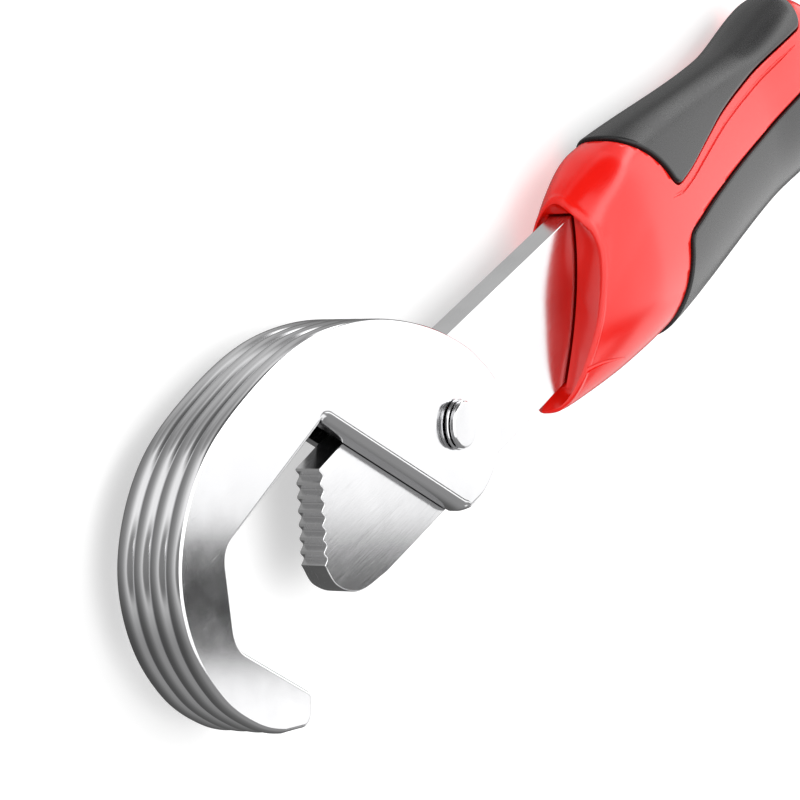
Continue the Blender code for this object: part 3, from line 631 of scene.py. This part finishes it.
def make_rivet(materials):
    seat = HOOK_THICKNESS / 2 + WASHER_THICKNESS + 2 * GAP
    top = seat + RIVET_HEAD_HEIGHT
    edge = RIVET_HEAD_CHAMFER
    upper = [(0, top), (RIVET_HEAD_RADIUS - edge, top), (RIVET_HEAD_RADIUS, top - edge),
             (RIVET_HEAD_RADIUS, seat), (RIVET_RADIUS, seat)]
    lower = [(radius, -height) for radius, height in reversed(upper)]
    rivet = new_object("headed_rivet", turned(rounded_profile(upper + lower, 0.12 * MM)))
    finish_shading(rivet, 40)
    place(rivet, "hook", "pivot_rivet", "pin_steel", materials["pin"])
    for label, side in (("near", 1), ("far", -1)):
        middle = side * (HOOK_THICKNESS / 2 + GAP + WASHER_THICKNESS / 2)
        half = WASHER_THICKNESS / 2
        inner = RIVET_RADIUS + GAP
        soft = WASHER_THICKNESS / 4
        profile = [(inner, -half), (inner, half), (WASHER_RADIUS - soft, half), (WASHER_RADIUS, half - soft),
                   (WASHER_RADIUS, soft - half), (WASHER_RADIUS - soft, -half), (inner, -half)]
        washer = new_object(f"washer_{label}", turned([(r, middle + z) for r, z in profile]))
        finish_shading(washer, 30)
        place(washer, "hook", f"rivet_washer_{label}", "pin_steel", materials["pin"])


def make_spring(materials):
    """Flat spiral whose inner end stands in the blade's hole, while its coil lies in the hook's pocket."""
    per_turn = 48
    leg_top = -BLADE_THICKNESS / 2 + SPRING_LEG_REACH
    points = [Vector((SPRING_INNER, 0, leg_top)), Vector((SPRING_INNER, 0, SPRING_Z + SPRING_WIRE * 0.6)),
              Vector((SPRING_INNER, SPRING_WIRE * 0.25, SPRING_Z + SPRING_WIRE * 0.12))]
    for k in range(4, int(per_turn * (SPRING_TURNS + 0.25)) + 1):
        angle = 2 * math.pi * k / per_turn
        radius = min(SPRING_OUTER, SPRING_INNER + SPRING_PITCH * k / per_turn)
        points.append(Vector((radius * math.cos(angle), radius * math.sin(angle), SPRING_Z)))
    points.append(Vector((-POCKET_RADIUS - SPRING_END_REACH, points[-1].y, SPRING_Z)))
    curve = bpy.data.curves.new("spring_path", "CURVE")
    curve.dimensions = "3D"
    curve.bevel_depth = SPRING_WIRE / 2
    curve.bevel_resolution = 3
    curve.use_fill_caps = True
    spline = curve.splines.new("POLY")
    spline.points.add(len(points) - 1)
    for point, spot in zip(spline.points, points):
        point.co = (*(spot + PIVOT), 1.0)
    path = bpy.data.objects.new("spring_path", curve)
    bpy.context.scene.collection.objects.link(path)
    bpy.context.view_layer.update()
    graph = bpy.context.evaluated_depsgraph_get()
    mesh = bpy.data.meshes.new_from_object(path.evaluated_get(graph))
    bpy.data.objects.remove(path, do_unlink=True)
    mesh.shade_smooth()
    spring = bpy.data.objects.new("spiral_spring", mesh)
    bpy.context.scene.collection.objects.link(spring)
    mesh.materials.clear()
    mesh.materials.append(materials["wire"])
    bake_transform(spring)
    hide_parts("jaw_spring")


# ---------------------------------------------------------------- handle

def handle_top(x):
    waist = HANDLE_END - 48 * MM
    return curve_through([
        (HANDLE_FRONT, 9 * MM), (HANDLE_FRONT + 12 * MM, 13.4 * MM), (HANDLE_FRONT + 21 * MM, 16.2 * MM),
        (HANDLE_FRONT + 31 * MM, 19.3 * MM), (HANDLE_FRONT + 43 * MM, 21.0 * MM),
        (waist, 16.0 * MM), (HANDLE_END - 20 * MM, 18.4 * MM), (HANDLE_END, 18.6 * MM)], x)


def handle_bottom(x):
    waist = HANDLE_END - 44 * MM
    return curve_through([
        (HANDLE_FRONT, -18.4 * MM), (HANDLE_FRONT + 4 * MM, -20.2 * MM), (HANDLE_FRONT + 10 * MM, -21.2 * MM),
        (HANDLE_FRONT + 31 * MM, -23.2 * MM), (HANDLE_FRONT + 58 * MM, -24.0 * MM),
        (waist, -21.0 * MM), (HANDLE_END - 20 * MM, -21.6 * MM), (HANDLE_END, -21.6 * MM)], x)


def handle_half_thickness(x):
    waist = HANDLE_END - 48 * MM
    return curve_through([
        (HANDLE_FRONT, 5 * MM), (HANDLE_FRONT + 9 * MM, 7.4 * MM), (HANDLE_FRONT + 21 * MM, 9.6 * MM),
        (HANDLE_FRONT + 31 * MM, 10.8 * MM), (HANDLE_FRONT + 43 * MM, 11.4 * MM),
        (waist, 10.0 * MM), (HANDLE_END - 22 * MM, 11.0 * MM), (HANDLE_END, 11.0 * MM)], x)


def tail_share(x):
    """Share of the full cross-section that is left where the tail rounds off."""
    along = (x - (HANDLE_END - TAIL_ROUND)) / TAIL_ROUND
    if along <= 0:
        return 1.0
    return max(0.0, 1.0 - along**2.3) ** 0.5


def handle_point(x, angle, inset=0.0):
    """Point of the handle's skin: angle 0 on the near flank, 90 degrees on the upper edge."""
    share = tail_share(x + inset)
    narrowing = FRONT_NARROWING * (1 - smooth_step((x - HANDLE_FRONT) / NARROWING_REACH))
    middle = (handle_top(x) + handle_bottom(x)) / 2
    half_height = max(0.3 * MM, (handle_top(x) - handle_bottom(x)) / 2 * share - inset)
    half_thickness = max(0.2 * MM, handle_half_thickness(x) * share**0.55 - inset)
    power = 2 / HANDLE_ROUNDNESS
    across = math.copysign(abs(math.cos(angle)) ** power, math.cos(angle))
    across *= 1 - narrowing * max(0.0, math.sin(angle)) ** 1.5
    up = math.copysign(abs(math.sin(angle)) ** power, math.sin(angle))
    return Vector((x, middle + half_height * up, half_thickness * across))


def lip_x(angle):
    """How far forward the mouth's lip reaches, by the angle round the handle, same on both flanks."""
    up = math.degrees(math.asin(max(-1.0, min(1.0, math.sin(angle)))))
    return HANDLE_FRONT + curve_through(LIP_REACH, up) * MM


def mouth_x(y):
    """Where the mouth's inner edge crosses the blade at height y: far back at its top."""
    down = (BLADE_TOP - y) / (BLADE_TOP - BLADE_BOTTOM)
    return HANDLE_FRONT + MOUTH_DEPTH - MOUTH_SWEEP * (0.25 * down + 0.75 * down**2)


def slot_ring(angles, top, bottom, x=None, grow_by=0.0):
    """Rectangle round the blade; without x it follows the mouth's slanted inner edge."""
    ring = []
    for angle in angles:
        grow = 1 / max(abs(math.cos(angle)), abs(math.sin(angle)))
        y = (top + bottom) / 2 + ((top - bottom) / 2 + grow_by) * grow * math.sin(angle)
        z = (SLOT_HALF + grow_by) * grow * math.cos(angle)
        ring.append(Vector((mouth_x(y) if x is None else x, y, z)))
    return ring


def round_angles(count):
    """Angles of count points, with one exactly on each corner of the slot."""
    return [2 * math.pi * (k + 0.5) / count + math.pi / 4 - math.pi / count for k in range(count)]


def outer_rings(angles, stations):
    """Rings of the core's skin, from the mouth's rounded lip to the tail."""
    even_from = HANDLE_FRONT + 42 * MM
    rings = []
    for back, sink in ((0.05, 0.42), (0.2, 0.2), (0.42, 0.06), (0.75, -0.02), (1.1, -0.1), (1.5, -0.1),
                       (1.9, -0.03), (2.4, 0.05), (3.0, 0.03)):
        rings.append([handle_point(lip_x(a) + back * MM, a, sink * MM) for a in angles])
    front_rows = 16
    for k in range(front_rows):
        t = k / front_rows
        rings.append([handle_point(lip_x(a) + 4 * MM + (even_from - lip_x(a) - 4 * MM) * t, a)
                      for a in angles])
    length = HANDLE_END - even_from
    for k in range(stations + 1):
        t = math.sin(math.pi / 2 * k / stations) ** 0.95
        rings.append([handle_point(even_from + length * t, a) for a in angles])
    return rings


def make_core_body():
    """The whole handle outside, its mouth, and the pocket that the blade sits in."""
    angles = round_angles(144)
    top = BLADE_TOP + GAP
    bottom = BLADE_BOTTOM - GAP
    middle = (BLADE_TOP + BLADE_BOTTOM) / 2
    tang_top = middle + TANG_WIDTH / 2 + GAP
    tang_bottom = middle - TANG_WIDTH / 2 - GAP
    outside = outer_rings(angles, 110)
    lip = outside[0]
    mouth = slot_ring(angles, top, bottom, None, 0.25 * MM)
    mouth_edge = [point + Vector((0.35 * MM, 0, 0)) for point in slot_ring(angles, top, bottom)]
    scoop = []
    for t in (0.12, 0.26, 0.4, 0.54, 0.68, 0.8, 0.9, 0.96):
        dip = Vector((0.35 * MM * math.sin(math.pi * t), 0, 0))
        scoop.append([inner * (1 - t) + edge * t + dip for edge, inner in zip(lip, mouth)])
    inside = [slot_ring(angles, tang_top, tang_bottom, SHOULDER_X + TANG_LENGTH + GAP),
              slot_ring(angles, tang_top, tang_bottom, SHOULDER_X + GAP + 1 * MM),
              slot_ring(angles, top, bottom, SHOULDER_X + GAP)]
    return skin_rings(inside + [mouth_edge, mouth] + scoop + outside)


def panel_share(x):
    """0 where the panels start behind the bolster, 1 where the tail begins."""
    start = HANDLE_FRONT + 45 * MM
    return (x - start) / (HANDLE_END - 23 * MM - start)


def stripe_edge(x, side):
    return curve_through(STRIPE_TOP if side > 0 else STRIPE_BOTTOM, panel_share(x)) * MM


def angle_at(x, y):
    """Angle round the handle, on its near flank, at which the skin has height y."""
    middle = (handle_top(x) + handle_bottom(x)) / 2
    half_height = (handle_top(x) - handle_bottom(x)) / 2 * tail_share(x)
    ratio = max(-0.999, min(0.999, (y - middle) / half_height))
    return math.asin(math.copysign(abs(ratio) ** (HANDLE_ROUNDNESS / 2), ratio))


def arc_station(angle, centre, radius, direction):
    """Station where the skin at an angle crosses a round edge seen from the side."""
    x = centre.x + direction * radius * 0.9
    for _ in range(5):
        drop = handle_point(x, angle).y - centre.y
        x = centre.x + direction * math.sqrt(max(0.0, radius**2 - drop**2))
    return x


def corner_rise(distance, radius):
    if distance >= radius:
        return 0.0
    return radius - math.sqrt(max(0.0, radius**2 - (radius - distance) ** 2))


def panel_grid(side, inset, height, border_only, columns=44):
    """Rows of points over a soft panel, its border moved in by inset and its skin raised by height."""
    length = 88.0 * MM
    close = (0.0, 0.12, 0.3, 0.55, 0.9, 1.4, 2.0, 2.8)
    fractions = [d * MM / length for d in close]
    steps = 56
    fractions += [fractions[-1] + (1 - 2 * fractions[-1]) * k / steps for k in range(1, steps)]
    fractions += [1 - d * MM / length for d in reversed(close)]
    radius = max(0.4 * MM, GRIP_CORNER - inset)
    rows = []
    for fraction in fractions:
        edge_angle = angle_at(HANDLE_FRONT + 60 * MM, stripe_edge(HANDLE_FRONT + 60 * MM, side))
        for _ in range(6):
            front = arc_station(edge_angle, BOLSTER_CENTRE, BOLSTER_RADIUS + inset, 1)
            rear = arc_station(edge_angle, TAIL_CENTRE, TAIL_RADIUS + inset, -1)
            x = front + (rear - front) * fraction
            rise = corner_rise(x - front, radius) + corner_rise(rear - x, radius)
            edge_angle = angle_at(x, stripe_edge(x, side) + side * (inset + rise))
        row = []
        inner_row = 0.0 < fraction < 1.0
        for k in (0, columns) if border_only and inner_row else range(columns + 1):
            t = 2 * k / columns - 1
            spread = math.sin(t * math.pi / 2) * 0.35 + t * 0.65
            angle = side * math.pi / 2 + spread * (side * math.pi / 2 - edge_angle)
            front = arc_station(angle, BOLSTER_CENTRE, BOLSTER_RADIUS + inset, 1)
            rear = arc_station(angle, TAIL_CENTRE, TAIL_RADIUS + inset, -1)
            row.append(handle_point(front + (rear - front) * fraction, angle, -height))
        rows.append(row)
    return rows


def border(rows):
    """The outermost points of a grid of rows, in order round it."""
    return (rows[0] + [row[-1] for row in rows[1:-1]] + list(reversed(rows[-1]))
            + [row[0] for row in reversed(rows[1:-1])])


def panel_solid(side, layers):
    """Closed shell through panel grids: a skin from the first and the last, walls between them."""
    bm = bmesh.new()
    last = len(layers) - 1
    grids = [panel_grid(side, inset, height, 0 < index < last)
             for index, (inset, height) in enumerate(layers)]
    loops = []
    for index, grid in enumerate(grids):
        if index in (0, last):
            verts = [[bm.verts.new(point) for point in row] for row in grid]
            for lower, upper in zip(verts, verts[1:]):
                for k in range(len(lower) - 1):
                    bm.faces.new((lower[k], lower[k + 1], upper[k + 1], upper[k]))
            loops.append(border(verts))
        else:
            loops.append([bm.verts.new(point) for point in border(grid)])
    for lower, upper in zip(loops, loops[1:]):
        for k in range(len(lower)):
            j = (k + 1) % len(lower)
            bm.faces.new((lower[k], lower[j], upper[j], upper[k]))
    bmesh.ops.recalc_face_normals(bm, faces=bm.faces)
    return bm


def panel_seat(side):
    """Cutter for a panel's seat in the core, flared so that the seat's rim is rounded."""
    layers = [(0.0, -GRIP_DEPTH), (0.0, -SEAT_RIM)]
    for degrees in (20, 40, 60):
        turn = math.radians(degrees)
        layers.append((-SEAT_RIM * (1 - math.cos(turn)), -SEAT_RIM * (1 - math.sin(turn))))
    layers.append((-SEAT_RIM * 1.3, 0.12 * MM))
    layers.append((-SEAT_RIM * 2.6, 1.2 * MM))
    return panel_solid(side, layers)


def make_grips(materials):
    for name, side in (("upper_grip_panel", 1), ("lower_grip_panel", -1)):
        layers = []
        for degrees in (0, 15, 30, 45, 60, 75, 90):
            turn = math.radians(degrees)
            layers.append((GAP + GRIP_RIM * (1 - math.sin(turn)),
                           GRIP_PROUD - GRIP_RIM * (1 - math.cos(turn))))
        layers.append((GAP, GAP - GRIP_DEPTH))
        grip = new_object(name, panel_solid(side, layers))
        finish_shading(grip, 40)
        place(grip, "lever", name.removesuffix("_panel"), "black_rubber", materials["black"])


def groove_path(flank):
    """Line of the engraved groove along the stripe, on one flank, just under its upper edge."""
    start = HANDLE_FRONT + 53 * MM
    end = HANDLE_END - 25 * MM
    points = []
    for k in range(61):
        x = start + (end - start) * k / 60
        hook_down = 0.9 * MM * (1 - smooth_step((x - start) / (6 * MM)))
        y = stripe_edge(x, 1) - 1.75 * MM - 0.35 * MM * smooth_step((x - start) / (40 * MM)) + hook_down
        spot = handle_point(x, angle_at(x, y))
        points.append(Vector((spot.x, spot.y, spot.z * flank)))
    return points


def crease_path(flank):
    """Line of the short crease that dies out on the bolster's lower flank."""
    points = []
    for k in range(25):
        x = HANDLE_FRONT + (9.6 + 15 * k / 24) * MM
        y = curve_through([(50.6, -13.7), (54.4, -14.3), (58.1, -15.3), (66, -18.2)], x / MM) * MM
        spot = handle_point(x, angle_at(x, y))
        points.append(Vector((spot.x, spot.y, (spot.z + 0.1 * MM) * flank)))
    return points


def make_core(materials):
    core = new_object("handle_body", make_core_body())
    for side in (1, -1):
        cut(core, panel_seat(side))
    for flank in (1, -1):
        path = groove_path(flank)
        cut(core, tube(path, [0.42 * MM * min(1.0, 0.25 + k * 0.25, 0.25 + (len(path) - 1 - k) * 0.1)
                              for k in range(len(path))]))
        path = crease_path(flank)
        cut(core, tube(path, [(0.75 - 0.6 * k / (len(path) - 1)) * MM for k in range(len(path))]))
    hole = Vector((HANDLE_END - HANGING_HOLE_INSET, -1.5 * MM, 0))
    flare = [(HANGING_HOLE_RADIUS + 1.6 * MM, 14 * MM), (HANGING_HOLE_RADIUS + 1.0 * MM, 10.4 * MM),
             (HANGING_HOLE_RADIUS + 0.35 * MM, 9.6 * MM), (HANGING_HOLE_RADIUS, 8.6 * MM)]
    profile = [(0, 14 * MM)] + flare + [(r, -z) for r, z in reversed(flare)] + [(0, -14 * MM)]
    drill = turned(profile, 64)
    bmesh.ops.translate(drill, verts=drill.verts, vec=hole)
    cut(core, drill)
    middle = (BLADE_TOP + BLADE_BOTTOM) / 2
    for k in (1, 2):
        plug = circle(Vector((SHOULDER_X + TANG_HOLE_STEP * k, middle)), TANG_HOLE_RADIUS - GAP)
        cut(core, prism(plug, -SLOT_HALF - 1 * MM, SLOT_HALF + 1 * MM), "UNION")
    finish_shading(core, 34, weighted=False)
    place(core, "lever", "handle_core", "red_plastic", materials["red"])


# ---------------------------------------------------------------- floor, light and camera

FLOOR_REACH = 4.0
FLOOR_GREY = 0.64
FLOOR_GLOW = 0.5


def make_floor():
    mesh = bpy.data.meshes.new("studio_floor")
    corners = [(-1, -1), (1, -1), (1, 1), (-1, 1)]
    mesh.from_pydata([(x * FLOOR_REACH, y * FLOOR_REACH, 0) for x, y in corners], [], [(0, 1, 2, 3)])
    floor = bpy.data.objects.new("studio_floor", mesh)
    bpy.context.scene.collection.objects.link(floor)
    material, nodes, _ = make_material("studio_floor")
    shader = nodes["Principled BSDF"]
    shader.inputs["Base Color"].default_value = (FLOOR_GREY, FLOOR_GREY, FLOOR_GREY, 1)
    shader.inputs["Emission Color"].default_value = (1, 1, 1, 1)
    shader.inputs["Emission Strength"].default_value = FLOOR_GLOW
    shader.inputs["Roughness"].default_value = 1.0
    shader.inputs["Specular IOR Level"].default_value = 0.0
    mesh.materials.append(material)
    floor.visible_glossy = False


def direction_share(nodes, links, source, towards, start, end, low, high):
    """Smooth change from low to high as the direction turns towards a given one."""
    dot = nodes.new("ShaderNodeVectorMath")
    dot.operation = "DOT_PRODUCT"
    dot.inputs[1].default_value = Vector(towards).normalized()
    links.new(source, dot.inputs[0])
    share = nodes.new("ShaderNodeMapRange")
    share.interpolation_type = "SMOOTHSTEP"
    share.inputs["From Min"].default_value = start
    share.inputs["From Max"].default_value = end
    share.inputs["To Min"].default_value = low
    share.inputs["To Max"].default_value = high
    links.new(dot.outputs["Value"], share.inputs["Value"])
    return share.outputs["Result"]


SURROUND_GREYS = [(0.0, 0.16), (0.16, 0.24), (0.4, 0.42), (0.55, 0.58), (0.7, 0.68), (1.0, 0.68)]
# Patches of the surround: direction, cosine where the change starts and ends, factor before and after
SURROUND_PATCHES = [
    ((0, 1, 0), -0.6, 0.6, 0.45, 1.5),
    ((0.704, -0.43, 0.565), 0.972, 0.992, 1.0, 0.08),
    ((-0.77, 0.38, 0.51), 0.84, 0.96, 1.0, 0.25),
    ((0.45, 0.72, 0.52), 0.87, 0.97, 1.0, 0.12),
    ((0.4, 0.9, -0.1), 0.94, 0.99, 1.0, 0.5),
    ((0.97, 0.2, 0.0), 0.85, 0.95, 1.0, 0.42)]
TABLE_DIRECTION = (0.77, 0.38, -0.51)
TABLE_LEVEL = 0.20
STRIP_DIRECTION = (0.8, 0, 0.6)
STRIP_LEVEL = 3.2


def multiply(nodes, links, first, second):
    node = nodes.new("ShaderNodeMath")
    node.operation = "MULTIPLY"
    links.new(first, node.inputs[0])
    links.new(second, node.inputs[1])
    return node.outputs["Value"]


def make_world():
    """Grey studio surround: a dark corner behind the softboxes, a pale table past the handle."""
    world = bpy.data.worlds.new("studio")
    bpy.context.scene.world = world
    world.use_nodes = True
    nodes, links = world.node_tree.nodes, world.node_tree.links
    source = nodes.new("ShaderNodeTexCoord").outputs["Generated"]
    shade = nodes.new("ShaderNodeValToRGB")
    links.new(direction_share(nodes, links, source, (0, 0, 1), -1.0, 1.0, 0.0, 1.0), shade.inputs["Fac"])
    elements = shade.color_ramp.elements
    elements[0].position, elements[1].position = SURROUND_GREYS[0][0], SURROUND_GREYS[-1][0]
    for position, _ in SURROUND_GREYS[1:-1]:
        elements.new(position)
    for element, (_, level) in zip(elements, SURROUND_GREYS):
        element.color = (level, level, level, 1)
    level = shade.outputs["Color"]
    for patch in SURROUND_PATCHES:
        level = multiply(nodes, links, level, direction_share(nodes, links, source, *patch))
    table = direction_share(nodes, links, source, TABLE_DIRECTION, 0.90, 0.985, 0.0, TABLE_LEVEL)
    level = add(nodes, links, level, table)
    rising = direction_share(nodes, links, source, (0, 1, 0), 0.26, 0.33, 0.0, 1.0)
    falling = direction_share(nodes, links, source, (0, 1, 0), 0.37, 0.44, 1.0, 0.0)
    ahead = direction_share(nodes, links, source, STRIP_DIRECTION, 0.55, 0.8, 0.0, STRIP_LEVEL)
    strip = multiply(nodes, links, multiply(nodes, links, rising, falling), ahead)
    links.new(add(nodes, links, level, strip), nodes["Background"].inputs["Color"])


def add_softbox(name, centre, facing, width, height, radiance):
    """Rectangular light of a given brightness, its face turned towards a point."""
    data = bpy.data.lights.new(name, "AREA")
    data.shape = "RECTANGLE"
    data.size = width
    data.size_y = height
    data.energy = radiance * math.pi * width * height
    light = bpy.data.objects.new(name, data)
    light.location = centre
    light.rotation_mode = "QUATERNION"
    light.rotation_quaternion = (facing - centre).to_track_quat("-Z", "Y")
    bpy.context.scene.collection.objects.link(light)
    return light


CAMERA_RIGHT = Vector((0.4600, -0.2282, 0.8580))
CAMERA_UP = Vector((0.4467, 0.8946, -0.0016))
CAMERA_BACK = Vector((-0.7673, 0.3840, 0.5136))
CAMERA_PLACE = Vector((-407.304, 208.822, 268.193)) * MM
SENSOR_WIDTH = 36.0
LENS_LENGTH = 129.465
SOFTBOX_DISTANCE = 1.25
OVERHEAD_SHIFT = Vector((-0.2, 0.1, 0))
OVERHEAD_HEIGHT = 1.1
OVERHEAD_SIZE = 1.8


def make_camera():
    data = bpy.data.cameras.new("camera")
    data.sensor_width = SENSOR_WIDTH
    data.lens = LENS_LENGTH
    data.clip_start = 0.02
    data.clip_end = 20.0
    camera = bpy.data.objects.new("camera", data)
    bpy.context.scene.collection.objects.link(camera)
    back = CAMERA_BACK.normalized()
    right = CAMERA_UP.cross(back).normalized()
    up = back.cross(right)
    turn = Matrix((right, up, back)).transposed()
    camera.matrix_world = Matrix.Translation(PIVOT + CAMERA_PLACE) @ turn.to_4x4()
    bpy.context.scene.camera = camera


def mirrored_spot(x, y):
    """Point of the softboxes' plane, which faces the camera as the hook's near face mirrors it.

    x runs to the camera's mirrored right and y to its mirrored up, from the view's centre line.
    """
    flip = Matrix.Diagonal((1, 1, -1))
    mirrored_camera = flip @ CAMERA_PLACE + Vector((0, 0, HOOK_THICKNESS))
    centre = PIVOT + mirrored_camera - flip @ CAMERA_BACK * SOFTBOX_DISTANCE
    return centre + flip @ CAMERA_RIGHT * x + flip @ CAMERA_UP * y


def add_mirrored_softbox(name, left, right, top, bottom, radiance):
    """Softbox between four edges in the mirrored plane, in metres."""
    middle_x, middle_y = (left + right) / 2, (top + bottom) / 2
    centre = mirrored_spot(middle_x, middle_y)
    across = mirrored_spot(right, middle_y) - mirrored_spot(left, middle_y)
    down = mirrored_spot(middle_x, bottom) - mirrored_spot(middle_x, top)
    light = add_softbox(name, centre, PIVOT, across.length, down.length, radiance)
    x_axis = across.normalized()
    z_axis = x_axis.cross(-down.normalized())
    if z_axis.dot(PIVOT - centre) > 0:
        x_axis = -x_axis
        z_axis = -z_axis
    y_axis = z_axis.cross(x_axis)
    turn = Matrix((x_axis, y_axis, z_axis)).transposed()
    light.matrix_world = Matrix.Translation(centre) @ turn.to_4x4()


def make_lights():
    add_mirrored_softbox("main_softbox", -0.478, 0.521, 0.565, -0.059, 1.25)
    add_mirrored_softbox("low_softbox", -0.239, 0.043, -0.115, -0.217, 1.3)
    add_mirrored_softbox("flank_softbox", 0.156, 0.695, -0.059, -0.478, 0.85)
    below = PIVOT + OVERHEAD_SHIFT
    above = below + Vector((0, 0, OVERHEAD_HEIGHT))
    add_softbox("overhead", above, below, OVERHEAD_SIZE, OVERHEAD_SIZE, 1.15)
    bpy.context.scene.view_settings.view_transform = "Standard"


make_camera()
kit = make_materials()
make_hook(kit)
make_blade(kit)
make_rivet(kit)
make_core(kit)
make_grips(kit)
make_spring(kit)
make_floor()
make_world()
make_lights()
bpy.context.view_layer.update()
